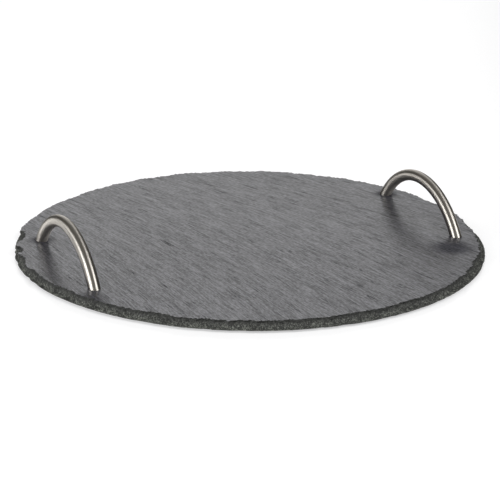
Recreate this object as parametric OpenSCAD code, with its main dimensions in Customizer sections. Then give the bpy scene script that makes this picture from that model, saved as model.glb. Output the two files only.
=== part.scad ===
// Round slate serving board with a hand-knapped edge and two bent-bar handles.
// Millimetres, +Z up. The origin is on the table, under the middle of the board.
// A handle stands near each end of the X axis, with its feet in line along Y.

/* [Board] */
// Widest diameter, at the foot of the knapped edge
board_d = 400; // [392:1:440]
// Thickness of the slate
slate_t = 6.5; // [5.5:0.5:9]

/* [Knapped edge] */
// Slope left all the way round, from the widest edge to the top face
bevel_w = 2.5; // [1:0.5:4]
// Bite of the deepest chips into the top face, beyond the slope
chip_depth = 3; // [1.5:0.5:5]
// Usual length of a chip along the edge
chip_len = 16; // [12:1:26]
// Bite of the deepest small flakes
flake_depth = 2; // [0.4:0.2:2.6]
// Usual length of a small flake along the edge
flake_len = 5.5; // [5:0.5:10]
// Height of the lip that the chips leave standing at the underside
lip_h = 1; // [0.4:0.1:2]
// Waviness of the widest edge
rim_wave = 0.8; // [0.2:0.1:1.6]
// Length of one facet along the edge
facet_len = 2.2; // [2:0.2:6]
// How much deeper all bites are at the left end, where the board was struck hardest
end_share = 0.8; // [0:0.1:1]

/* [Handles] */
// Diameter of the solid bar
bar_d = 10; // [9:0.5:12]
// Distance between the middles of the two feet of a handle
foot_span = 128; // [112:1:132]
// Height of the bar's centre line over the slate, at the top of the arch
arch_rise = 33.5; // [30:0.5:44]
// Distance from the widest edge of the board to the middle of a handle
handle_inset = 35.5; // [32:0.5:48]

/* [Screws] */
// Diameter of the thread
screw_d = 4; // [3:0.5:4.5]
// Length of thread inside the bar
screw_bite = 5.5; // [4:0.5:6]
// Distance from the middle of a foot inwards to its screw, which keeps it inside the leaning bar
screw_shift = 2; // [1.5:0.1:2.4]
// Diameter of the countersunk head
head_d = 7.6; // [7:0.1:8.4]
// Straight rim of the head under its cone
head_rim = 0.3; // [0.2:0.1:0.5]
// Depth of the head below the underside of the slate
head_sunk = 0.4; // [0.2:0.1:0.8]
// Length of the cross recess from tip to tip
cross_len = 4.2; // [3.4:0.1:5]
// Width of a bar of the cross recess
cross_w = 0.9; // [0.6:0.1:1.2]
// Depth of the cross recess
cross_deep = 1.3; // [0.8:0.1:1.6]

/* [Pads] */
// Diameter of a rubber pad
pad_d = 16; // [10:1:24]
// Thickness of a rubber pad, which lifts the slate off the table
pad_t = 2; // [1.5:0.5:4]
// Distance from the middle of the board to the middle of a pad
pad_reach = 150; // [110:1:165]

/* [Clearances] */
// Gap all round the thread in the tapped hole of the bar
thread_gap = 0.05; // [0.02:0.01:0.1]
// Gap all round the thread in the slate
shank_gap = 0.3; // [0.2:0.05:0.5]
// Gap all round the head in its countersink
head_gap = 0.2; // [0.1:0.05:0.3]
// Space over the tip of the screw in the tapped hole
tip_gap = 1.2; // [0.8:0.1:1.5]

/* [Hidden] */
$fn = 96;
overrun = 1;

board_r = board_d / 2;
slate_top = pad_t + slate_t;
handle_x = board_r - handle_inset;
foot_y = foot_span / 2;
arch_r = (foot_y * foot_y + arch_rise * arch_rise) / (2 * arch_rise);
screw_y = foot_y - screw_shift;
screw_z = pad_t + head_sunk;
screw_len = slate_t - head_sunk + screw_bite;
head_cone_h = (head_d - screw_d) / 2;
shank_hole_d = screw_d + 2 * shank_gap;
sink_d = head_d + 2 * head_gap;
sink_cone_h = (sink_d - shank_hole_d) / 2;
pad_xy = pad_reach * cos(45);

// Each row round the edge, as a share of the slate's thickness
row_shares = [0, 0.1, 0.2, 0.34, 0.52, 0.76, 1];
columns = 4 * round(PI * board_d / facet_len / 4);
// How far a chip's middle wanders from its even place, and how wide and deep chips are, as shares
wander_share = 0.7;
width_shares = [0.5, 0.95];
bite_shares = [0.15, 1];
// Lowest and highest lips, as shares of lip_h: below zero a flake breaks through the underside
chip_lip_shares = [0.4, 2];
flake_lip_shares = [-0.8, 2.4];
// Each kind of chip: how many go round, its first trait, its deepest bite and its lips
kinds = [
    [round(PI * board_d / chip_len), 1, chip_depth, chip_lip_shares],
    [round(PI * board_d / flake_len), 5, flake_depth, flake_lip_shares]
];
// Where round the board the left end's bites are deepest, and how fast they fade beside it
end_angle = 165;
end_fade = 8;
neighbours = [-2, -1, 0, 1, 2];
// Counts of waves round the widest edge, and the share of rim_wave that each takes
wave_counts = [3, 7, 17, 41];
wave_shares = [0.3, 0.3, 0.25, 0.15];
wave_fade = 0.25;

// A repeatable value between 0 and 1 for each chip and each of its traits
scatter_turns = [131.3, 57.9, 23.1];
scatter_gain = 917.3;
function scatter(i, trait) =
    let (v = scatter_gain * sin(scatter_turns * [i, trait, 1])) v - floor(v);
function between(pair, share) = pair[0] + (pair[1] - pair[0]) * share;

// Section of a scoop struck down from the top face: steep above, flaring out at the lip
function scoop_rise(z, lip) =
    z <= lip ? 0 : let (t = (z - lip) / (slate_t - lip)) sqrt(t * (2 - t));

// Bite of the chip at one place in the row, at an angle round the board and a height
function chip_bite(a, z, place, kind) =
    let (
        count = kind[0], trait = kind[1], own = (place + count) % count, pitch = 360 / count,
        middle = pitch * (place + 0.5 + wander_share * (scatter(own, trait) - 0.5)),
        half = pitch * between(width_shares, scatter(own, trait + 1)),
        bite = kind[2] * between(bite_shares, scatter(own, trait + 2)),
        lip = lip_h * between(kind[3], scatter(own, trait + 3)),
        u = (a - middle) / half
    )
    abs(u) >= 1 ? 0 : bite * sqrt(1 - u * u) * scoop_rise(z, lip);

// Bite of the deepest chip at a place: neighbours meet in sharp ridges
function deepest_bite(a, z, kind) =
    let (near = floor(a * kind[0] / 360))
    max([for (k = neighbours) chip_bite(a, z, near + k, kind)]);

// Widest edge, which keeps its full radius on both axes and waves inwards between them
function rim_r(a) =
    let (waves = [for (count = wave_counts) (1 + sin(count * (a + count))) / 2])
    board_r - rim_wave * pow(abs(sin(2 * a)), wave_fade) * (wave_shares * waves);

function end_growth(a) = 1 + end_share * pow(max(0, cos(a - end_angle)), end_fade);

function edge_r(a, z) =
    rim_r(a)
    - end_growth(a) * (
        bevel_w * scoop_rise(z, lip_h)
        + deepest_bite(a, z, kinds[0])
        + deepest_bite(a, z, kinds[1])
    );

// Disc lofted through rows of points round the edge, with both faces fanned from their middles
module knapped_disc() {
    last = len(row_shares) - 1;
    rows = [
        for (share = row_shares)
        for (j = [0 : columns - 1])
        let (a = 360 * j / columns, z = share * slate_t, r = edge_r(a, z))
        [r * cos(a), r * sin(a), z]
    ];
    under_middle = len(rows);
    top_middle = under_middle + 1;
    walls = [
        for (k = [0 : last - 1])
        for (j = [0 : columns - 1])
        let (
            low = k * columns + j, low_next = k * columns + (j + 1) % columns,
            up = low + columns, up_next = low_next + columns
        )
        each [[low, up, up_next], [low, up_next, low_next]]
    ];
    faces = [
        for (j = [0 : columns - 1])
        let (next = (j + 1) % columns, up = last * columns)
        each [[under_middle, j, next], [top_middle, up + next, up + j]]
    ];
    polyhedron(
        points = concat(rows, [[0, 0, 0], [0, 0, slate_t]]),
        faces = concat(walls, faces)
    );
}

// Clearance hole and countersink for one screw, from the underside of the slate
module screw_seat() {
    translate([0, 0, -overrun]) cylinder(h = slate_t + 2 * overrun, d = shank_hole_d);
    translate([0, 0, -overrun]) cylinder(h = overrun + head_sunk + head_rim, d = sink_d);
    translate([0, 0, head_sunk + head_rim]) cylinder(h = sink_cone_h, d1 = sink_d, d2 = shank_hole_d);
}

module slate_board() {
    color([0.47, 0.47, 0.48])
    translate([0, 0, pad_t])
    difference() {
        knapped_disc();
        for (side = [-1, 1], end = [-1, 1])
            translate([side * handle_x, end * screw_y, 0]) screw_seat();
    }
}

// Arch of solid bar, cut flat at the slate, with a blind tapped hole in each foot
module handle(side) {
    color([0.76, 0.74, 0.70])
    translate([side * handle_x, 0, slate_top])
    difference() {
        translate([0, 0, arch_rise - arch_r])
            rotate([0, 90, 0]) rotate_extrude() translate([arch_r, 0]) circle(d = bar_d);
        translate([-bar_d, -arch_r - bar_d, -2 * arch_r - bar_d])
            cube([2 * bar_d, 2 * (arch_r + bar_d), 2 * arch_r + bar_d]);
        for (end = [-1, 1])
            translate([0, end * screw_y, -overrun])
                cylinder(h = overrun + screw_bite + tip_gap, d = screw_d + 2 * thread_gap);
    }
}

// Countersunk machine screw, put in from below
module handle_screw(side, end) {
    color([0.62, 0.62, 0.63])
    translate([side * handle_x, end * screw_y, screw_z])
    difference() {
        union() {
            cylinder(h = head_rim, d = head_d);
            translate([0, 0, head_rim]) cylinder(h = head_cone_h, d1 = head_d, d2 = screw_d);
            cylinder(h = screw_len, d = screw_d);
        }
        for (turn = [0, 90])
            rotate(turn) translate([-cross_len / 2, -cross_w / 2, -overrun])
                cube([cross_len, cross_w, overrun + cross_deep]);
    }
}

// Rubber pad stuck to the underside
module pad(side, end) {
    color([0.09, 0.09, 0.09])
    translate([side * pad_xy, end * pad_xy, 0]) cylinder(h = pad_t, d = pad_d);
}

slate_board();
handle(-1);  // left_handle
handle(1);  // right_handle
handle_screw(-1, -1);  // left_front_screw
handle_screw(-1, 1);  // left_rear_screw
handle_screw(1, -1);  // right_front_screw
handle_screw(1, 1);  // right_rear_screw
pad(-1, -1);  // left_front_pad
pad(-1, 1);  // left_rear_pad
pad(1, -1);  // right_front_pad
pad(1, 1);  // right_rear_pad
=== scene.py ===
import math

import bpy
import bmesh
from mathutils import Matrix, Vector


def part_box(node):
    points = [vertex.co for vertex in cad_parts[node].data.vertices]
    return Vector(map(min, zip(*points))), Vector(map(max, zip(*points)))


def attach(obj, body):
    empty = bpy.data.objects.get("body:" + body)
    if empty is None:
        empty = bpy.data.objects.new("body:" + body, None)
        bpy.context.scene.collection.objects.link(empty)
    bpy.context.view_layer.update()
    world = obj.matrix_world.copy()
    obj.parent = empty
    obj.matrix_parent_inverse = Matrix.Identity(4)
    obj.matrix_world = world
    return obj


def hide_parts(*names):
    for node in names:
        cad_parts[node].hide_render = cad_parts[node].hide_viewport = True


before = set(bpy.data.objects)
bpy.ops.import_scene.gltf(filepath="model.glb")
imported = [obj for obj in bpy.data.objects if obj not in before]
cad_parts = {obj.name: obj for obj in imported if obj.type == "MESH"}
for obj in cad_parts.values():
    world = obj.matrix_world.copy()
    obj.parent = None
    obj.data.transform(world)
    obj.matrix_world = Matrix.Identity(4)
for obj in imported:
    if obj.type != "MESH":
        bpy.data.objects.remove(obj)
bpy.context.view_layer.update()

# A round slate serving board with a knapped edge and two bent bar handles, on a pale studio floor

mm = 0.001

# Sizes and places, read from the frame

slateLow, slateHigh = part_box("slate_board")
slateThickness = slateHigh.z - slateLow.z
boardRadius = (slateHigh.x - slateLow.x) / 2
handleLow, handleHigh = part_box("right_handle")
screwLow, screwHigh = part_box("right_rear_screw")
padLow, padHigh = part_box("right_rear_pad")

barRadius = (handleHigh.x - handleLow.x) / 2
handleX = (handleHigh.x + handleLow.x) / 2
archRise = handleHigh.z - slateHigh.z - barRadius
# The outside of the bar meets the slate at handleHigh.y, which gives the radius of its centre line
archRadius = (handleHigh.y ** 2 + archRise ** 2 - barRadius ** 2) / (2 * (barRadius + archRise))
archCentreZ = slateHigh.z + archRise - archRadius
footY = math.sqrt(2 * archRise * archRadius - archRise ** 2)
screwX = (screwHigh.x + screwLow.x) / 2
screwY = (screwHigh.y + screwLow.y) / 2
padX = (padHigh.x + padLow.x) / 2
padY = (padHigh.y + padLow.y) / 2


# Node trees, written as expressions

class Wire:  # an output socket that takes + - * and / in Python, and adds the Math nodes
    def __init__(self, graph, socket):
        self.graph = graph
        self.socket = socket

    def math(self, operation, *others):
        values = dict(enumerate((self, *others)))
        return self.graph.add("ShaderNodeMath", {"operation": operation}, values)

    def __add__(self, other):
        return self.math("ADD", other)

    def __radd__(self, other):
        return self.math("ADD", other)

    def __sub__(self, other):
        return self.math("SUBTRACT", other)

    def __rsub__(self, other):
        return self.graph.add("ShaderNodeMath", {"operation": "SUBTRACT"}, {0: other, 1: self})

    def __mul__(self, other):
        return self.math("MULTIPLY", other)

    def __rmul__(self, other):
        return self.math("MULTIPLY", other)

    def __truediv__(self, other):
        return self.math("DIVIDE", other)

    def also(self, name):  # another output of the same node
        return Wire(self.graph, self.socket.node.outputs[name])


class Graph:
    def __init__(self, tree):
        self.tree = tree

    def add(self, kind, settings=None, values=None, output=0):
        node = self.tree.nodes.new(kind)
        for name, value in (settings or {}).items():
            setattr(node, name, value)
        for key, value in (values or {}).items():
            if isinstance(value, Wire):
                self.tree.links.new(value.socket, node.inputs[key])
            else:
                node.inputs[key].default_value = value
        return Wire(self, node.outputs[output]) if len(node.outputs) else node

    def split(self, vector):
        whole = self.add("ShaderNodeSeparateXYZ", None, {0: vector})
        return whole, whole.also("Y"), whole.also("Z")

    def join(self, x, y, z):
        return self.add("ShaderNodeCombineXYZ", None, {0: x, 1: y, 2: z})

    def noise(self, vector, detail=3.0, roughness=0.55, scale=1.0, distortion=0.0):
        return self.add("ShaderNodeTexNoise", None, {
            "Vector": vector, "Scale": scale, "Detail": detail, "Roughness": roughness,
            "Distortion": distortion})

    def step(self, value, low, high):  # a smooth step from 0 at low to 1 at high, clamped
        values = {"Value": value, "From Min": low, "From Max": high}
        return self.add("ShaderNodeMapRange", {"interpolation_type": "SMOOTHSTEP"}, values)

    def blend(self, factor, first, second):  # of two colours, each a wire or three numbers
        ends = [end if isinstance(end, Wire) else (*end, 1) for end in (first, second)]
        values = {0: factor, 6: ends[0], 7: ends[1]}
        return self.add("ShaderNodeMix", {"data_type": "RGBA"}, values, 2)

    def weigh(self, waves, shares):  # the sum of the waves, each times its share
        first, *others = [waves[name] * share for name, share in shares.items()]
        for other in others:
            first = first + other
        return first


# Grain of the stone, shared by its colours and its cleft faces

grain = {
    "fanX": -0.25,  # the point far behind the board where the grain's lines would meet
    "fanY": 1.2,
    "bend": 0.33,  # sideways bow of the lines, growing with the square of Y
}


def grainCoordinates(graph, x, y):
    # Lengths across and along lines that fan out from one point and bow sideways
    dx = x + y * y * grain["bend"] - grain["fanX"]
    dy = grain["fanY"] - y
    across = dx.math("ARCTAN2", dy) * grain["fanY"]
    along = (dx * dx + dy * dy).math("SQRT")
    return across, along


# Meshes

def meshObject(name, vertices, faces, smooth=True):
    mesh = bpy.data.meshes.new(name)
    mesh.from_pydata([tuple(v) for v in vertices], [], faces)
    mesh.validate()
    mesh.polygons.foreach_set("use_smooth", [smooth] * len(mesh.polygons))
    piece = bpy.data.objects.new(name, mesh)
    bpy.context.scene.collection.objects.link(piece)
    return piece


def lathe(name, profile, segments):
    # Closed turned solid from (radius, height) points, first and last on the axis
    vertices = []
    rings = []
    for radius, height in profile:
        if radius == 0:
            rings.append([len(vertices)])
            vertices.append((0, 0, height))
            continue
        rings.append(range(len(vertices), len(vertices) + segments))
        for i in range(segments):
            a = math.tau * i / segments
            vertices.append((radius * math.cos(a), radius * math.sin(a), height))
    return meshObject(name, vertices, ringFaces(rings))


def ringFaces(rings):
    # Faces between neighbouring closed rings of equal, halved or doubled counts, or a single point
    faces = []
    for low, high in zip(rings, rings[1:]):
        m, n = len(low), len(high)
        for i in range(min(m, n) if min(m, n) > 1 else max(m, n)):
            if m == n:
                j = (i + 1) % m
                faces.append((low[i], low[j], high[j], high[i]))
            elif m == 1:
                faces.append((low[0], high[(i + 1) % n], high[i]))
            elif n == 1:
                faces.append((low[i], low[(i + 1) % m], high[0]))
            elif n == 2 * m:
                j, a, b, c = (i + 1) % m, 2 * i, 2 * i + 1, (2 * i + 2) % n
                faces += [(low[i], high[b], high[a]), (low[i], low[j], high[b]),
                          (low[j], high[c], high[b])]
            else:
                j, a, b, c = (i + 1) % n, 2 * i, 2 * i + 1, (2 * i + 2) % m
                faces += [(low[a], low[b], high[i]), (low[b], high[j], high[i]),
                          (low[b], low[c], high[j])]
    return faces


def applyTree(piece, tree, inputs):
    # Runs a Geometry Nodes tree on the piece and keeps the result as a plain mesh
    modifier = piece.modifiers.new(tree.name, "NODES")
    modifier.node_group = tree
    for item in tree.interface.items_tree:
        if item.item_type == "SOCKET" and item.in_out == "INPUT" and item.name in inputs:
            modifier[item.identifier] = inputs[item.name]
    bpy.context.view_layer.update()
    keepEvaluated(piece)


def keepEvaluated(piece):
    # Puts what the modifiers make in the place of the piece's mesh, and removes them
    evaluated = piece.evaluated_get(bpy.context.evaluated_depsgraph_get())
    mesh = bpy.data.meshes.new_from_object(evaluated)
    piece.modifiers.clear()
    piece.data = mesh


def newTree(name, sockets):
    tree = bpy.data.node_groups.new(name, "GeometryNodeTree")
    tree.interface.new_socket("Geometry", in_out="INPUT", socket_type="NodeSocketGeometry")
    for label, kind in sockets.items():
        tree.interface.new_socket(label, in_out="INPUT", socket_type="NodeSocket" + kind)
    tree.interface.new_socket("Geometry", in_out="OUTPUT", socket_type="NodeSocketGeometry")
    graph = Graph(tree)
    start = tree.nodes.new("NodeGroupInput")
    wires = {label: Wire(graph, start.outputs[label]) for label in ["Geometry", *sockets]}
    return tree, graph, wires


def endTree(graph, geometry, materials):
    # Realizes what was instanced, sets the materials and ends the tree
    geometry = graph.add("GeometryNodeRealizeInstances", None, {"Geometry": geometry})
    for material, selection in materials:
        values = {"Geometry": geometry, "Material": material}
        if selection is not None:
            values["Selection"] = selection
        geometry = graph.add("GeometryNodeSetMaterial", None, values)
    graph.add("NodeGroupOutput", None, {"Geometry": geometry})


def newMaterial(name):
    material = bpy.data.materials.new(name)
    material.use_nodes = True
    graph = Graph(material.node_tree)
    surface = material.node_tree.nodes["Principled BSDF"]
    position = graph.add("ShaderNodeTexCoord").also("Object")
    return material, graph, surface, position


def plug(graph, surface, values):
    for name, value in values.items():
        if isinstance(value, Wire):
            graph.tree.links.new(value.socket, surface.inputs[name])
        else:
            surface.inputs[name].default_value = value


# Slate

slate = {
    "colour": (0.046, 0.046, 0.055),
    "dark": (0.022, 0.022, 0.026),
    "light": (0.082, 0.082, 0.097),
    "roughness": 0.55,
    "roughnessSpread": 0.2,
    "specular": 0.2,
    "polish": 0.28,  # roughness of the polish that lies over the stone
    "refraction": 1.9,
    "shine": 0.75,  # mean weight of the polish
    "shineByTone": 2.1,
    "shineByPatch": 0.15,
    "shineByCrack": 0.35,
    "marks": {
        # width across the grain, length along it, octaves of detail and their roughness
        "thread": (1 * mm, 22 * mm, 0, 0.55),
        "streak": (2.1 * mm, 55 * mm, 1, 0.5),
        "speck": (0.7 * mm, 3.74 * mm, 0, 0.55),
        "broad": (8.4 * mm, 110 * mm, 2, 0.6),
        "gap": (4.2 * mm, 27.5 * mm, 1, 0.55),  # where a streak opens into a crack
        "patch": (42 * mm, 220 * mm, 2, 0.55),
        "drift": (25.2 * mm, 110 * mm, 1, 0.55),  # slow bends of the other marks
    },
    "driftWidth": 6.3 * mm,  # how far the drift sways the other marks
    "gapPlane": 5.0,  # keeps the gaps' pattern apart from the other marks
    "pit": (0.8 * mm, 1.4 * mm),  # across and along the board
    "sideGap": 3 * mm,  # less than the thickness, so that the underside has a grain of its own
    "crackWidth": 0.05,  # as a share of a streak's height
    "crackOpens": (0.5, 0.6),
    "toneShares": {"thread": 0.34, "streak": 0.22, "speck": 0.36, "pit": 0.08},
    "heightShares": {"thread": 0.45, "streak": 0.55, "speck": 0.12, "broad": 0.25, "crack": -0.35},
    "toneSpan": 0.1,  # from the mean tone to full light or dark
    "patchTint": 0.1,
    "patchSpan": (0.4, 0.65),
    "crackTint": 0.8,
    "bumpHeight": 0.12 * mm,
    "paintedShade": 1.0,  # share of the polish taken away close to a foot, to paint the feet's shade on the stone
    "paintedShadeCore": 1.2,  # radius of full painted shade, where the stone is all dull, in radii of the bar
    "paintedShadeReach": 26 * mm,
    "paintedShadeShift": (18 * mm, 26 * mm),  # painted shade patches moved to the left and the front, at the front feet
    "paintedShadeShrink": 1.7,  # how much smaller the painted shade patches are at the rear feet
    "paintedShadeTurn": 10 * mm,  # half the width of the strip where front painted shade patches give way to rear ones
}
slateEdge = {
    "colour": (0.024, 0.025, 0.023),
    "light": (0.230, 0.240, 0.210),
    "roughness": 0.6,
    "marks": {
        # width round the edge, height, octaves of detail and their roughness
        "fleck": (0.9 * mm, 2.6 * mm, 3, 0.65),
        "layer": (9 * mm, 0.5 * mm, 3, 0.6),
        "lump": (5 * mm, 3 * mm, 2, 0.55),
    },
    "paleShares": {"fleck": 0.7, "lump": 0.3},
    "paleSpan": (0.46, 0.64),
    "paleLitLowHeight": (0.85, 0.25),  # pale flecks lie low on the edge, from none to all, which paints the lower lip lighter and the upper edge darker as the light falls
    "paleSway": 0.6,
    "paleInShadeAbove": 0.12,  # share of them left above that, in the upper edge's painted shade
    "heightShares": {"fleck": 0.8, "layer": 0.6},
    "bumpHeight": 0.4 * mm,
    "bumpStrength": 0.8,
}


def slateTopMaterial():
    material, graph, surface, position = newMaterial("rivenSlate")
    x, y, z = graph.split(position)
    across, along = grainCoordinates(graph, x, y)
    level = z / slate["sideGap"]

    def mark(name, side, plane):
        wide, long, detail, rough = slate["marks"][name]
        return graph.noise(graph.join(side / wide, along / long, plane), detail, rough)

    bent = across + (mark("drift", across, level) - 0.5) * slate["driftWidth"]
    waves = {name: mark(name, bent, level) for name in ("thread", "streak", "speck", "broad")}
    patch = mark("patch", across, level)
    pitWide, pitLong = slate["pit"]
    waves["pit"] = graph.noise(graph.join(x / pitWide, y / pitLong, level), detail=1.0)
    crack = graph.step((waves["streak"] - 0.5).math("ABSOLUTE"), slate["crackWidth"], 0.0)
    crack = crack * graph.step(mark("gap", bent, level + slate["gapPlane"]), *slate["crackOpens"])
    waves["crack"] = crack
    tone = graph.weigh(waves, slate["toneShares"])

    colour = graph.blend(graph.step(tone, 0.5, 0.5 + slate["toneSpan"]), slate["colour"], slate["light"])
    colour = graph.blend(graph.step(tone, 0.5, 0.5 - slate["toneSpan"]), colour, slate["dark"])
    tint = graph.step(patch, *slate["patchSpan"]) * slate["patchTint"]
    colour = graph.blend(tint, colour, slate["light"])
    colour = graph.blend(crack * slate["crackTint"], colour, slate["dark"])
    rough = slate["roughness"] + (waves["streak"] - 0.5 + crack) * slate["roughnessSpread"]
    bump = graph.add("ShaderNodeBump", None, {
        "Strength": 1.0, "Distance": slate["bumpHeight"],
        "Height": graph.weigh(waves, slate["heightShares"])})
    shine = slate["shine"] + (tone - 0.5) * slate["shineByTone"]
    shine = shine + (patch - 0.5) * slate["shineByPatch"] - crack * slate["shineByCrack"]
    plug(graph, surface, {
        "Base Color": colour, "Roughness": rough, "Specular IOR Level": slate["specular"],
        # Less polish near the feet: painted shade of the legs on the stone
        "Coat Weight": shine * (1 - slate["paintedShade"] * paintedShadeMask(graph, x, y)),
        "Coat Roughness": slate["polish"], "Coat IOR": slate["refraction"], "Normal": bump})
    return material


def paintedShadeMask(graph, x, y):
    # 1 close to the handles' feet, where the polish is taken away to paint the legs' shade on the stone
    front = graph.step(y, slate["paintedShadeTurn"], -slate["paintedShadeTurn"])
    shiftX, shiftY = slate["paintedShadeShift"]
    sideX = (x + front * shiftX).math("ABSOLUTE") - handleX
    sideY = y.math("ABSOLUTE") - footY - front * shiftY
    shrink = slate["paintedShadeShrink"] - (slate["paintedShadeShrink"] - 1) * front
    footGap = (sideX * sideX + sideY * sideY).math("SQRT") * shrink
    return graph.step(footGap, slate["paintedShadeReach"], slate["paintedShadeCore"] * barRadius)


def slateEdgeMaterial():
    material, graph, surface, position = newMaterial("knappedSlate")
    x, y, z = graph.split(position)
    waves = {}
    for name, (wide, tall, detail, rough) in slateEdge["marks"].items():
        waves[name] = graph.noise(graph.join(x / wide, y / wide, z / tall), detail, rough)
    height = (z - slateLow.z) / slateThickness + (waves["lump"] - 0.5) * slateEdge["paleSway"]
    # Pale mineral flecks thin out up the edge: painted light on the lower lip and painted shade on the
    # upper edge
    low = graph.step(height, *slateEdge["paleLitLowHeight"])
    pale = graph.step(graph.weigh(waves, slateEdge["paleShares"]), *slateEdge["paleSpan"])
    pale = pale * (slateEdge["paleInShadeAbove"] + low * (1 - slateEdge["paleInShadeAbove"]))
    bump = graph.add("ShaderNodeBump", None, {
        "Strength": slateEdge["bumpStrength"], "Distance": slateEdge["bumpHeight"],
        "Height": graph.weigh(waves, slateEdge["heightShares"])})
    plug(graph, surface, {
        "Base Color": graph.blend(pale, slateEdge["colour"], slateEdge["light"]),
        "Roughness": slateEdge["roughness"], "Normal": bump})
    return material


slateShape = {
    "columns": 1536,  # points in a ring at the edge
    "bandRows": 15,  # rings up the knapped edge
    "rings": {
        # steps from the middle or the edge, then part of the columns, first and last step, stride
        "under": (40, [(16, 1, 5, 1), (8, 5, 14, 1), (4, 14, 38, 1)]),
        "top": (121, [(2, 1, 46, 1), (4, 46, 78, 1), (8, 78, 103, 2), (16, 104, 120, 2)]),
    },
    "underRim": (0.97, 0.99),  # two finer rings just inside the edge of the underside
    "reliefHeight": 0.16 * mm,
    "reliefWidth": 9 * mm,
    "reliefLength": 60 * mm,
    "reliefWaves": {
        # how much finer than that across and along the grain, octaves, roughness, distortion
        "wave": (1, 1, 3, 0.6, 0.6),
        "ripple": (3.7, 3, 2, 0.6, 0),
        "ledge": (0.4, 0.5, 4, 0.7, 0),
    },
    "reliefPlanes": {"wave": 0, "ripple": 9, "ledge": 20},  # keep the waves apart
    "reliefShares": {"wave": 1.4, "ripple": 0.6, "ledge": 0.35},
    "ledges": 6,  # layers that a ledge steps through
    "ledgeStep": (0.4, 0.6),
    "reliefSides": 50.0,  # sets the two faces' patterns apart
    "reliefFade": 0.2,  # share of the thickness in which the relief fades down the edge
    "footClear": 9 * mm,  # smooth round the feet
    "footFade": (0.8, 1.5),
    "flakeLength": 3.4 * mm,
    "flakeHeight": 3.0 * mm,
    "flakeDepth": 1.5 * mm,
    "flakeLeast": 0.35,  # depth of the shallowest flake, as a share
    "fineFlake": (2.3, 2.1),  # how much shorter and lower the fine flakes are
    "fineShare": 0.3,
    "layerWidth": 12 * mm,
    "layerHeight": 0.8 * mm,
    "layerDepth": 0.35 * mm,
    "lipShare": 0.25,  # share of a flake's bite left at the underside
    "lipHeight": 0.2,  # as a share of the thickness
    "nickLength": 2.2 * mm,
    "nickNoise": (2.0, 0.6),  # octaves of detail and their roughness
    "nickDepth": 4.5 * mm,
    "nickTurn": 0.07,
    "rimNick": 6.0 * mm,
    "endTurn": math.radians(163),  # direction of the left end, struck into a few deep chips
    "endFade": (math.radians(42), math.radians(30)),
    "endSlope": 3.4 * mm,
    "endFlat": 2.4 * mm,  # less slope where the face is left standing between the chips
    "flatTurn": -0.03,
    "flatFade": (0.42, 0.21),
    "endChips": [
        # radians from the end's direction, half length in radians, bite
        (-0.132, 0.075, 6.0 * mm),
        (0.047, 0.040, 5.2 * mm),
        (0.164, 0.058, 3.8 * mm),
        (0.340, 0.035, 1.2 * mm),
        (0.585, 0.070, 1.2 * mm),
    ],
    "rayMargin": 0.02 * mm,  # keeps the measuring rays off the faces
    "rayStart": 1.1,  # in radii of the board
    "sharpAngle": math.radians(32),
    "weldGap": 0.001 * mm,
}


def latticeRings(side):
    # Counts of points and radial shares of the rings of one face
    steps, table = slateShape["rings"][side]
    return [(slateShape["columns"] // part, s / steps)
            for part, first, last, stride in table for s in range(first, last, stride)]


def slateLattice():
    # Unit disc: a point's distance from the axis is its share of the local radius,
    # and its height its share of the thickness
    columns, rows = slateShape["columns"], slateShape["bandRows"]
    under = [(1, 0)] + latticeRings("under")
    under += [(columns // 2, share) for share in slateShape["underRim"]]
    top = [(count, 1 - share) for count, share in latticeRings("top")] + [(1, 0)]
    shape = [(count, share, 0) for count, share in under]
    shape += [(columns, 1, k / (rows - 1)) for k in range(rows)]
    shape += [(count, share, 1) for count, share in top]
    vertices, rings = [], []
    for count, radial, height in shape:
        rings.append(range(len(vertices), len(vertices) + count))
        offset = 0.5 if count < columns else 0
        for i in range(count):
            a = math.tau * (i + offset) / count
            vertices.append((radial * math.cos(a), radial * math.sin(a), height))
    piece = meshObject("slateBoard", vertices, ringFaces(rings))
    start, end = rings[len(under)][0], rings[len(under) + rows - 1][-1]
    inBand = [all(start <= v <= end for v in face.vertices) for face in piece.data.polygons]
    knapped = piece.data.attributes.new("knapped", "BOOLEAN", "FACE")
    knapped.data.foreach_set("value", inBand)
    return piece


# Sizes that the slate's node tree takes as inputs
slateSizes = {
    "Radius": boardRadius, "Thickness": slateThickness, "Underside": slateLow.z,
    "Flake Length": slateShape["flakeLength"], "Flake Height": slateShape["flakeHeight"],
    "Flake Depth": slateShape["flakeDepth"],
    "Layer Height": slateShape["layerHeight"], "Layer Depth": slateShape["layerDepth"],
    "Relief Height": slateShape["reliefHeight"], "Relief Width": slateShape["reliefWidth"],
    "Relief Length": slateShape["reliefLength"],
    "Foot X": handleX, "Foot Y": footY, "Foot Clear": slateShape["footClear"],
    "End Slope": slateShape["endSlope"], "End Flat": slateShape["endFlat"],
    "Nick Length": slateShape["nickLength"], "Nick Depth": slateShape["nickDepth"],
    "Rim Nick": slateShape["rimNick"],
}


def plainRim(graph, given, plain, direction, height):
    # Radius of the plain slate in a direction, at a height over its underside
    dirX, dirY = graph.split(direction)[:2]
    outside = given["Radius"] * slateShape["rayStart"]
    inwards = graph.add("ShaderNodeVectorMath", {"operation": "SCALE"}, {0: direction, "Scale": -1.0})
    hit = graph.add("GeometryNodeRaycast", None, {
        "Target Geometry": plain, "Ray Direction": inwards, "Ray Length": outside,
        "Source Position": graph.join(dirX * outside, dirY * outside, given["Underside"] + height)})
    return outside - hit.also("Hit Distance")


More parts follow.
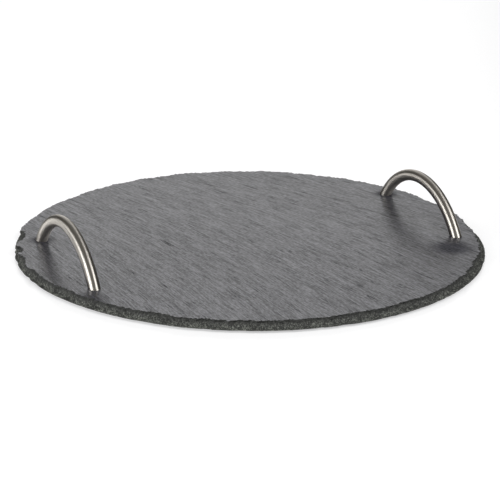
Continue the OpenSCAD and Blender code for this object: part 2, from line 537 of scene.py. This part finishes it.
def struckRim(graph, given, plain, direction, heightShare):
    # Radius of the edge before the flakes: the plain slate's, and deep chips at the left end
    dirX, dirY = graph.split(direction)[:2]
    height = heightShare * given["Thickness"]
    margin = slateShape["rayMargin"]
    inside = height.math("MAXIMUM", margin).math("MINIMUM", given["Thickness"] - margin)
    around = given["Radius"] / given["Nick Length"]
    spot = graph.join(dirX * around, dirY * around, height / given["Nick Length"])
    nick = graph.noise(spot, *slateShape["nickNoise"]) - 0.5
    rim = plainRim(graph, given, plain, direction, inside) - heightShare * nick * given["Rim Nick"]

    endX, endY = math.cos(slateShape["endTurn"]), math.sin(slateShape["endTurn"])
    turn = (dirY * endX - dirX * endY).math("ARCTAN2", dirX * endX + dirY * endY)
    flat = graph.step((turn - slateShape["flatTurn"]).math("ABSOLUTE"), *slateShape["flatFade"])
    slope = given["End Slope"] - given["End Flat"] * flat
    chip = nick * given["Nick Depth"]
    warped = turn + nick * slateShape["nickTurn"]
    for place, half, bite in slateShape["endChips"]:
        gap = (warped - place) / half
        chip = chip + (1 - gap * gap).math("MAXIMUM", 0.0).math("SQRT") * bite
    rise = (heightShare * (2 - heightShare)).math("MAXIMUM", 0.0).math("SQRT")
    struck = plainRim(graph, given, plain, direction, margin) - rise * slope - heightShare * chip
    return rim + (struck - rim) * graph.step(turn.math("ABSOLUTE"), *slateShape["endFade"])


def flakeBite(graph, given, rimX, rimY, heightShare):
    # Shell shaped scars: each Voronoi cell is one scar, and cells meet in sharp ridges
    long, tall = given["Flake Length"], given["Flake Height"]
    height = heightShare * given["Thickness"]
    shorter, lower = slateShape["fineFlake"]

    def scar(place):
        return graph.add("ShaderNodeTexVoronoi", {"voronoi_dimensions": "3D"}, {
            "Vector": graph.join(*place), "Scale": 1.0})

    broad = scar((rimX / long, rimY / long, height / tall))
    fine = scar((rimX / long * shorter, rimY / long * shorter, height / tall * lower))
    least, fineShare = slateShape["flakeLeast"], slateShape["fineShare"]
    depth = least + graph.split(broad.also("Color"))[0] * (1 - least)
    scoop = (1 - broad * broad).math("MAXIMUM", 0.0) * depth
    fineScoop = (1 - fine * fine).math("MAXIMUM", 0.0)
    wide = slateShape["layerWidth"]
    spot = graph.join(rimX / wide, rimY / wide, height / given["Layer Height"])
    sheet = graph.noise(spot, detail=2.0)
    bite = given["Flake Depth"] * (scoop * (1 - fineShare) + fineScoop * fineShare)
    lip = slateShape["lipShare"]
    return (bite + given["Layer Depth"] * sheet) * (
        lip + (1 - lip) * graph.step(heightShare, 0.0, slateShape["lipHeight"]))


def cleftRelief(graph, given, x, y, heightShare):
    # Ridges along the grain on both faces, which fade where the feet sit
    across, along = grainCoordinates(graph, x, y)
    wide, length = given["Relief Width"], given["Relief Length"]
    side = heightShare * slateShape["reliefSides"]
    waves = {}
    for name, (fineX, fineY, detail, rough, distortion) in slateShape["reliefWaves"].items():
        place = graph.join(
            across / wide * fineX, along / length * fineY, side + slateShape["reliefPlanes"][name])
        waves[name] = graph.noise(place, detail, rough, 1.0, distortion)
    layers = (waves["ledge"] * slateShape["ledges"]).math("FRACT")
    waves["ledge"] = graph.step(layers, *slateShape["ledgeStep"])
    waves = {name: wave - 0.5 for name, wave in waves.items()}
    gapX, gapY = x.math("ABSOLUTE") - given["Foot X"], y.math("ABSOLUTE") - given["Foot Y"]
    near, far = slateShape["footFade"]
    clear = graph.step((gapX * gapX + gapY * gapY).math("SQRT"),
                       given["Foot Clear"] * near, given["Foot Clear"] * far)
    fade = slateShape["reliefFade"]
    facing = graph.step(heightShare, 1.0 - fade, 1.0) + graph.step(heightShare, fade, 0.0)
    return given["Relief Height"] * graph.weigh(waves, slateShape["reliefShares"]) * clear * facing


def slateTree():
    # Wraps the lattice on the plain slate, strikes fine flakes round it and cleaves its faces
    sockets = {"Plain Slate": "Object", "Cutter": "Object", **dict.fromkeys(slateSizes, "Float")}
    tree, graph, given = newTree("cleaveSlate", sockets)
    plain = graph.add("GeometryNodeObjectInfo", None, {"Object": given["Plain Slate"]}).also("Geometry")
    x, y, heightShare = graph.split(graph.add("GeometryNodeInputPosition"))
    radialShare = (x * x + y * y).math("SQRT")
    direction = graph.add("ShaderNodeVectorMath", {"operation": "NORMALIZE"}, {0: graph.join(x, y, 0.0)})
    dirX, dirY = graph.split(direction)[:2]
    rim = struckRim(graph, given, plain, direction, heightShare)
    bite = flakeBite(graph, given, dirX * rim, dirY * rim, heightShare)
    radius = (rim - bite) * radialShare
    placedX, placedY = dirX * radius, dirY * radius
    relief = cleftRelief(graph, given, placedX, placedY, heightShare)
    lifted = given["Underside"] + heightShare * given["Thickness"] + relief
    moved = graph.add("GeometryNodeSetPosition", None, {
        "Geometry": given["Geometry"], "Position": graph.join(placedX, placedY, lifted)})
    holes = graph.add("GeometryNodeObjectInfo", None, {"Object": given["Cutter"]}).also("Geometry")
    cut = graph.add("GeometryNodeMeshBoolean", {"operation": "DIFFERENCE", "solver": "MANIFOLD"}, {
        "Mesh 1": moved, "Mesh 2": holes})
    band = graph.add("GeometryNodeInputNamedAttribute", {"data_type": "BOOLEAN"}, {"Name": "knapped"})
    endTree(graph, cut, [(slateTopMaterial(), None), (slateEdgeMaterial(), band)])
    return tree


def merged(name, node):
    # A copy of a plain solid with its loose triangles joined
    copy = bmesh.new()
    copy.from_mesh(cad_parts[node].data)
    bmesh.ops.remove_doubles(copy, verts=copy.verts, dist=slateShape["weldGap"])
    mesh = bpy.data.meshes.new(name)
    copy.to_mesh(mesh)
    copy.free()
    piece = bpy.data.objects.new(name, mesh)
    bpy.context.scene.collection.objects.link(piece)
    return piece


def seatCutter():
    # The clearance holes and countersinks of all four screws
    rim = headRadius + screwSeat["gap"]
    neck = screwRadius + screwSeat["shankGap"]
    coneFoot = screwLow.z + screwSeat["rim"]
    over = screwSeat["overrun"]
    profile = [(0, -over), (rim, -over), (rim, coneFoot), (neck, coneFoot + rim - neck),
               (neck, slateHigh.z + over), (0, slateHigh.z + over)]
    cutter = lathe("seatCutter", profile, screwSeat["segments"])
    seats = bmesh.new()
    for sideX in (-1, 1):
        for sideY in (-1, 1):
            part = cutter.data.copy()
            part.transform(Matrix.Translation((sideX * screwX, sideY * screwY, 0)))
            seats.from_mesh(part)
    seats.to_mesh(cutter.data)
    seats.free()
    return cutter


def makeSlate():
    plain = merged("plainSlate", "slate_board")
    cutter = seatCutter()
    piece = slateLattice()
    applyTree(piece, slateTree(), {"Plain Slate": plain, "Cutter": cutter, **slateSizes})
    for helper in (plain, cutter):
        bpy.data.objects.remove(helper)
    piece.data.set_sharp_from_angle(angle=slateShape["sharpAngle"])
    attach(piece, "root")
    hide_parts("slate_board")


# Handles

handle = {
    "around": 64,  # points round the bar
    "along": 160,  # steps from foot to foot
    "edgeBreak": 0.25 * mm,
    "halfArc": 1.2,  # radians, a little over half of the arch
    "holeDepth": 6.7 * mm,
    "holeGap": 0.05 * mm,
    "sharpAngle": math.radians(40),
    "colour": (0.645, 0.612, 0.560),
    "roughness": 0.33,
    "roughBySpot": 0.06,
    "roughByLine": 0.04,
    "spotScale": 260.0,
    "lineSize": (0.12 * mm, 3 * mm, 3 * mm),
    "lineDepth": 0.05 * mm,
    "lineStrength": 0.03,
    "brushing": 1.0,  # all polishing marks run round the bar
    "brushingTurn": 0.25,  # a quarter turn from the surface's tangent
}


def steelMaterial():
    material, graph, surface, position = newMaterial("satinSteel")
    spot = graph.noise(position, detail=3.0, scale=handle["spotScale"])
    places = [wire / size for wire, size in zip(graph.split(position), handle["lineSize"])]
    line = graph.noise(graph.join(*places), detail=2.0)
    rough = handle["roughness"] + (spot - 0.5) * handle["roughBySpot"]
    rough = rough + (line - 0.5) * handle["roughByLine"]
    bump = graph.add("ShaderNodeBump", None, {
        "Strength": handle["lineStrength"], "Distance": handle["lineDepth"], "Height": line})
    plug(graph, surface, {
        "Base Color": (*handle["colour"], 1), "Metallic": 1.0, "Roughness": rough, "Normal": bump,
        "Anisotropic": handle["brushing"], "Anisotropic Rotation": handle["brushingTurn"]})
    return material


def barPoint(middle, turn, share, inset=0.0):
    # Point on the bar: turn runs round it, and share from one foot at -1 to the other at 1
    out = barRadius - inset
    r = archRadius + out * math.cos(turn)
    a = share * math.acos((slateHigh.z - archCentreZ) / r)
    return middle + Vector((out * math.sin(turn), r * math.sin(a), r * math.cos(a)))


def footRings(middle, end, turns):
    # Rings of one foot, from the end of its tapped hole out to the side of the bar
    hole = Vector((middle.x, end * screwY, slateHigh.z))
    deep = Vector((0, 0, handle["holeDepth"]))
    radius = screwRadius + handle["holeGap"]
    mouth = []
    for turn in turns:
        away = barPoint(middle, turn, end) - hole
        angle = math.atan2(away.y, away.x)
        mouth.append(hole + Vector((radius * math.cos(angle), radius * math.sin(angle), 0)))
    edge = handle["edgeBreak"] / (archRadius * handle["halfArc"])
    return [
        [hole + deep],
        [point + deep for point in mouth],
        mouth,
        [barPoint(middle, turn, end, handle["edgeBreak"]) for turn in turns],
        [barPoint(middle, turn, end * (1 - edge)) for turn in turns],
    ]


def makeHandle(name, node, side, material):
    middle = Vector((side * handleX, 0, archCentreZ))
    turns = [math.tau * i / handle["around"] for i in range(handle["around"])]
    shares = [-1 + 2 * k / handle["along"] for k in range(1, handle["along"])]
    steps = footRings(middle, -1, turns)
    steps += [[barPoint(middle, turn, share) for turn in turns] for share in shares]
    steps += reversed(footRings(middle, 1, turns))
    rings, vertices = [], []
    for points in steps:
        rings.append(range(len(vertices), len(vertices) + len(points)))
        vertices += points
    piece = meshObject(name, vertices, ringFaces(rings))
    fixNormals(piece)
    piece.data.use_auto_texspace = False  # wide in X, so that the surface's tangent runs round the bar
    piece.data.texspace_location = middle
    piece.data.texspace_size = (1000, 1, 1)
    piece.data.set_sharp_from_angle(angle=handle["sharpAngle"])
    piece.data.materials.append(material)
    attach(piece, "root")
    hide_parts(node)


def fixNormals(piece):
    shell = bmesh.new()
    shell.from_mesh(piece.data)
    bmesh.ops.recalc_face_normals(shell, faces=shell.faces)
    shell.to_mesh(piece.data)
    shell.free()


# Screws

headRadius = (screwHigh.x - screwLow.x) / 2
screwRadius = 2 * mm
screwSeat = {
    "gap": 0.2 * mm,
    "shankGap": 0.3 * mm,
    "rim": 0.3 * mm,
    "overrun": 1 * mm,
    "segments": 48,
}
screw = {
    "pitch": 0.7 * mm,
    "threadDepth": 0.38 * mm,
    "segments": 32,
    "rowsPerTurn": 6,
    "fadeIn": 8,  # rows in which the thread grows out of the shank
    "fadeOut": 4,
    "tipShare": 0.4,  # of the thread's depth
    "threadGap": 0.6 * mm,  # plain shank under the head's cone
    "headInner": 0.15 * mm,
    "headRound": 0.1 * mm,
    "crossLength": 4.2 * mm,
    "crossWidth": 0.9 * mm,
    "crossDepth": 1.3 * mm,
    "crossTaper": (0.55, 0.8),
    "sharpAngle": math.radians(35),
    "colour": (0.55, 0.55, 0.56),
    "stain": (0.42, 0.42, 0.44),
    "stainScale": 160.0,
    "spotScale": 900.0,
    "spotDepth": 0.05 * mm,
    "spotStrength": 0.1,
    "roughness": 0.3,
    "roughnessSpread": 0.2,
    "seed": 4,
}


def screwMaterial():
    material, graph, surface, position = newMaterial("zincSteel")
    spot = graph.noise(position, detail=4.0, scale=screw["spotScale"])
    stain = graph.noise(position, detail=2.0, scale=screw["stainScale"])
    bump = graph.add("ShaderNodeBump", None, {
        "Strength": screw["spotStrength"], "Distance": screw["spotDepth"], "Height": spot})
    plug(graph, surface, {
        "Base Color": graph.blend(stain, screw["colour"], screw["stain"]), "Metallic": 1.0,
        "Roughness": screw["roughness"] + (spot - 0.5) * screw["roughnessSpread"], "Normal": bump})
    return material


def screwBlank():
    # One threaded countersunk screw, standing on the middle of its head
    segments, pitch, bend = screw["segments"], screw["pitch"], screw["headRound"]
    length = screwHigh.z - screwLow.z
    rim = screwSeat["rim"]
    neck = rim + headRadius - screwRadius
    profile = [(screw["headInner"], 0), (headRadius - bend, 0), (headRadius, bend), (headRadius, rim),
               (screwRadius, neck)]
    vertices, rings = [(0, 0, 0)], [[0]]

    def addRing(radiusAt, height):
        rings.append(range(len(vertices), len(vertices) + segments))
        for i in range(segments):
            a = math.tau * i / segments
            r = radiusAt(a)
            vertices.append((r * math.cos(a), r * math.sin(a), height))

    for radius, height in profile:
        addRing(lambda a, r=radius: r, height)
    threadStart = neck + screw["threadGap"]
    rows = int((length - threadStart) / pitch * screw["rowsPerTurn"])
    for row in range(rows + 1):
        height = threadStart + (length - threadStart) * row / rows
        fade = min(1, row / screw["fadeIn"], (rows - row) / screw["fadeOut"] + screw["tipShare"])

        def threadRadius(a, z=height, share=fade):
            phase = (z / pitch - a / math.tau) % 1
            return screwRadius - screw["threadDepth"] * share * abs(2 * phase - 1)

        addRing(threadRadius, height)
    rings.append([len(vertices)])
    vertices.append((0, 0, length))
    return meshObject("screwBlank", vertices, ringFaces(rings))


def cutCross(blank):
    # The tapered cross recess of the head
    half, width, depth = screw["crossLength"] / 2, screw["crossWidth"] / 2, screw["crossDepth"]
    taperX, taperY = screw["crossTaper"]
    for turn in (0, 90):
        cross = bmesh.new()
        low = [(-half, -width), (half, -width), (half, width), (-half, width)]
        bottom = [cross.verts.new((x, y, -screwSeat["overrun"])) for x, y in low]
        mouth = [cross.verts.new((x, y, 0)) for x, y in low]
        tip = [cross.verts.new((x * taperX, y * taperY, depth)) for x, y in low]
        cross.faces.new(bottom)
        cross.faces.new(tip)
        for a, b in ((bottom, mouth), (mouth, tip)):
            for i in range(4):
                cross.faces.new((a[i], a[(i + 1) % 4], b[(i + 1) % 4], b[i]))
        bmesh.ops.recalc_face_normals(cross, faces=cross.faces)
        bmesh.ops.rotate(cross, verts=cross.verts, matrix=Matrix.Rotation(math.radians(turn), 3, "Z"))
        mesh = bpy.data.meshes.new("cross")
        cross.to_mesh(mesh)
        cross.free()
        tool = bpy.data.objects.new("cross", mesh)
        bpy.context.scene.collection.objects.link(tool)
        modifier = blank.modifiers.new("cross", "BOOLEAN")
        modifier.object = tool
        modifier.operation = "DIFFERENCE"
        bpy.context.view_layer.update()
        keepEvaluated(blank)
        bpy.data.objects.remove(tool)


def cornerPoints(name, x, y, z):
    corners = [(sideX * x, sideY * y, z) for sideX in (-1, 1) for sideY in (-1, 1)]
    return meshObject(name, corners, [])


def scatterTree(name, material):
    # Stands one blank on each point, each turned by its own angle
    tree, graph, given = newTree(name, {"Blank": "Object", "Turn": "Float", "Seed": "Int"})
    blank = graph.add("GeometryNodeObjectInfo", None, {"Object": given["Blank"]}).also("Geometry")
    angle = graph.add("FunctionNodeRandomValue", {"data_type": "FLOAT"}, {
        2: 0.0, 3: given["Turn"], "Seed": given["Seed"]}, 1)
    placed = graph.add("GeometryNodeInstanceOnPoints", None, {
        "Points": given["Geometry"], "Instance": blank, "Rotation": graph.join(0.0, 0.0, angle)})
    endTree(graph, placed, [(material, None)])
    return tree


def makeScrews():
    blank = screwBlank()
    cutCross(blank)
    piece = cornerPoints("machineScrews", screwX, screwY, screwLow.z)
    applyTree(piece, scatterTree("placeScrews", screwMaterial()), {
        "Blank": blank, "Turn": math.tau, "Seed": screw["seed"]})
    bpy.data.objects.remove(blank)
    piece.data.set_sharp_from_angle(angle=screw["sharpAngle"])
    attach(piece, "root")
    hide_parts("left_front_screw", "left_rear_screw", "right_front_screw", "right_rear_screw")


# Pads

pad = {
    "segments": 64,
    "edgeRound": 0.4 * mm,
    "edgeSteps": 4,
    "sharpAngle": math.radians(50),
    "colour": (0.022, 0.022, 0.023),
    "dust": (0.06, 0.06, 0.062),
    "dustShare": 0.5,
    "dustSpan": (0.5, 0.75),  # from clean rubber to full dust
    "dustScale": 240.0,
    "cellScale": 2600.0,
    "cellDepth": 0.1 * mm,
    "cellStrength": 0.4,
    "roughness": 0.8,
    "seed": 9,
}


def padMaterial():
    material, graph, surface, position = newMaterial("foamRubber")
    cell = graph.noise(position, detail=3.0, scale=pad["cellScale"])
    dust = graph.noise(position, detail=3.0, scale=pad["dustScale"])
    dust = graph.step(dust, *pad["dustSpan"]) * pad["dustShare"]
    bump = graph.add("ShaderNodeBump", None, {
        "Strength": pad["cellStrength"], "Distance": pad["cellDepth"], "Height": cell})
    plug(graph, surface, {
        "Base Color": graph.blend(dust, pad["colour"], pad["dust"]),
        "Roughness": pad["roughness"], "Normal": bump})
    return material


def makePads():
    radius = (padHigh.x - padLow.x) / 2
    thick = padHigh.z - padLow.z
    bend, steps = pad["edgeRound"], pad["edgeSteps"]
    profile = [(0, 0), (radius / 2, 0), (radius - bend, 0)]
    for k in range(1, steps + 1):
        a = math.pi / 2 * k / steps
        profile.append((radius - bend + bend * math.sin(a), bend - bend * math.cos(a)))
    profile += [(radius, thick), (radius / 2, thick), (0, thick)]
    blank = lathe("padBlank", profile, pad["segments"])
    piece = cornerPoints("rubberPads", padX, padY, padLow.z)
    applyTree(piece, scatterTree("placePads", padMaterial()), {
        "Blank": blank, "Turn": math.tau, "Seed": pad["seed"]})
    bpy.data.objects.remove(blank)
    piece.data.set_sharp_from_angle(angle=pad["sharpAngle"])
    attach(piece, "root")
    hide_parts("left_front_pad", "left_rear_pad", "right_front_pad", "right_rear_pad")


# Studio

studio = {
    "focalPixels": 2053,
    "framePixels": 500,
    "filmWidth": 36,  # millimetres
    "distance": 1.750,  # metres
    "azimuth": -24.56,  # degrees round the board, from its front towards its right
    "elevation": 19.28,  # degrees
    "roll": -0.51,
    "aimRight": 0.0002,  # metres from the middle of the slate's underside to the point aimed at
    "aimUp": -0.0041,
    "floorSize": 14,  # metres
    "floorColour": 0.7,
    "floorRoughness": 0.25,
    "floorRefraction": 1.6,
    "floorGlow": 0.48,
    "floorMirrored": 0.4,  # share of that glow that the steel and the polished stone mirror
    "lampDistance": 2.0,  # metres
    "lamps": [
        # name, degrees right of the camera and up, degrees wide and high, radiance
        ("leftBox", -54, 19, 40, 34, 4.3),
        ("rightBox", 60, 40, 34, 36, 3.7),
    ],
    "ambient": (0.34, 0.34, 0.345),
    # What the steel and the polished stone mirror: a white wall in a dim room, brighter in front
    "wallTurn": -174,  # degrees right of the camera
    "wallHalf": 14,
    "wallTop": 31,
    "wallBlur": 0.05,
    "lowGloom": (0.050, 0.048, 0.044),
    "highGloom": (0.12, 0.116, 0.108),
    "gloomRise": (0.2, 0.9),  # heights on the unit sphere
    "frontGloom": (0.19, 0.183, 0.169),
    "frontGlow": (0.36, 0.355, 0.345),
    "frontRise": (0.35, 0.6),
    "frontTurn": (120, 165),  # degrees from the wall
}


def studioDirection(degreesRight, degreesUp):
    # Unit vector towards what stands that far right of the camera, as seen from it, and up
    turn, rise = math.radians(studio["azimuth"] + degreesRight), math.radians(degreesUp)
    return Vector((math.sin(turn) * math.cos(rise), -math.cos(turn) * math.cos(rise), math.sin(rise)))


def makeCamera():
    a, roll = math.radians(studio["azimuth"]), math.radians(studio["roll"])
    back = studioDirection(0, studio["elevation"])
    right = Vector((math.cos(a), math.sin(a), 0))
    up = back.cross(right)
    rightTurned = right * math.cos(roll) - up * math.sin(roll)
    upTurned = right * math.sin(roll) + up * math.cos(roll)
    place = Vector((0, 0, slateLow.z)) + right * studio["aimRight"] + up * studio["aimUp"]
    place += back * studio["distance"]
    data = bpy.data.cameras.new("photoCamera")
    data.sensor_width = studio["filmWidth"]
    data.lens = studio["filmWidth"] * studio["focalPixels"] / studio["framePixels"]
    camera = bpy.data.objects.new("photoCamera", data)
    bpy.context.scene.collection.objects.link(camera)
    turn = Matrix((rightTurned, upTurned, back)).transposed().to_4x4()
    camera.matrix_world = Matrix.Translation(place) @ turn
    bpy.context.scene.camera = camera


def makeLamps():
    far = studio["lampDistance"]
    for name, right, up, wide, high, radiance in studio["lamps"]:
        data = bpy.data.lights.new(name, "AREA")
        data.shape = "RECTANGLE"
        data.size = 2 * far * math.tan(math.radians(wide / 2))
        data.size_y = 2 * far * math.tan(math.radians(high / 2))
        data.energy = radiance * math.pi * data.size * data.size_y
        lamp = bpy.data.objects.new(name, data)
        bpy.context.scene.collection.objects.link(lamp)
        towards = studioDirection(right, up)
        lamp.location = towards * far
        lamp.rotation_euler = (-towards).to_track_quat("-Z", "Y").to_euler()


def makeFloor():
    half = studio["floorSize"] / 2
    corners = [(-half, -half, 0), (half, -half, 0), (half, half, 0), (-half, half, 0)]
    floor = meshObject("paleFloor", corners, [(0, 1, 2, 3)], False)
    material, graph, surface = newMaterial("paleFloor")[:3]
    path = graph.add("ShaderNodeLightPath")
    mirrored = path.also("Is Glossy Ray") * studio["floorMirrored"]
    seen = path.math("MAXIMUM", path.also("Is Transmission Ray")).math("MAXIMUM", mirrored)
    plug(graph, surface, {
        "Base Color": (*[studio["floorColour"]] * 3, 1), "Roughness": studio["floorRoughness"],
        "IOR": studio["floorRefraction"], "Emission Strength": 1.0,
        "Emission Color": graph.blend(seen, (0, 0, 0), [studio["floorGlow"]] * 3)})
    floor.data.materials.append(material)


def makeWorld():
    world = bpy.data.worlds.new("studio")
    bpy.context.scene.world = world
    world.use_nodes = True
    graph = Graph(world.node_tree)
    path = graph.add("ShaderNodeLightPath")
    x, y, z = graph.split(graph.add("ShaderNodeTexCoord").also("Generated"))
    ahead = studioDirection(studio["wallTurn"], 0)
    off = (x * -ahead.y + y * ahead.x).math("ARCTAN2", x * ahead.x + y * ahead.y).math("ABSOLUTE")
    half, top = math.radians(studio["wallHalf"]), math.sin(math.radians(studio["wallTop"]))
    blur = studio["wallBlur"]
    wall = graph.step(off, half + blur, half - blur) * graph.step(z, top + blur, top - blur)
    gloom = graph.blend(graph.step(z, *studio["gloomRise"]), studio["lowGloom"], studio["highGloom"])
    front = graph.blend(graph.step(z, *studio["frontRise"]), studio["frontGlow"], studio["frontGloom"])
    turned = graph.step(off, *[math.radians(turn) for turn in studio["frontTurn"]])
    gloom = graph.blend(turned, gloom, front)
    white = (1, 1, 1)
    colour = graph.blend(path.also("Is Glossy Ray"), studio["ambient"], graph.blend(wall, gloom, white))
    colour = graph.blend(path.math("MAXIMUM", path.also("Is Transmission Ray")), colour, white)
    background = world.node_tree.nodes["Background"]
    graph.tree.links.new(colour.socket, background.inputs["Color"])
    background.inputs["Strength"].default_value = 1


def makeStudio():
    makeCamera()
    makeLamps()
    makeFloor()
    makeWorld()
    bpy.context.scene.view_settings.view_transform = "Standard"


makeStudio()
print("studio set")
makeSlate()
print("slate cleft and knapped")
steel = steelMaterial()
makeHandle("leftHandle", "left_handle", -1, steel)
makeHandle("rightHandle", "right_handle", 1, steel)
print("handles bent")
makeScrews()
print("screws in")
makePads()
print("pads on")
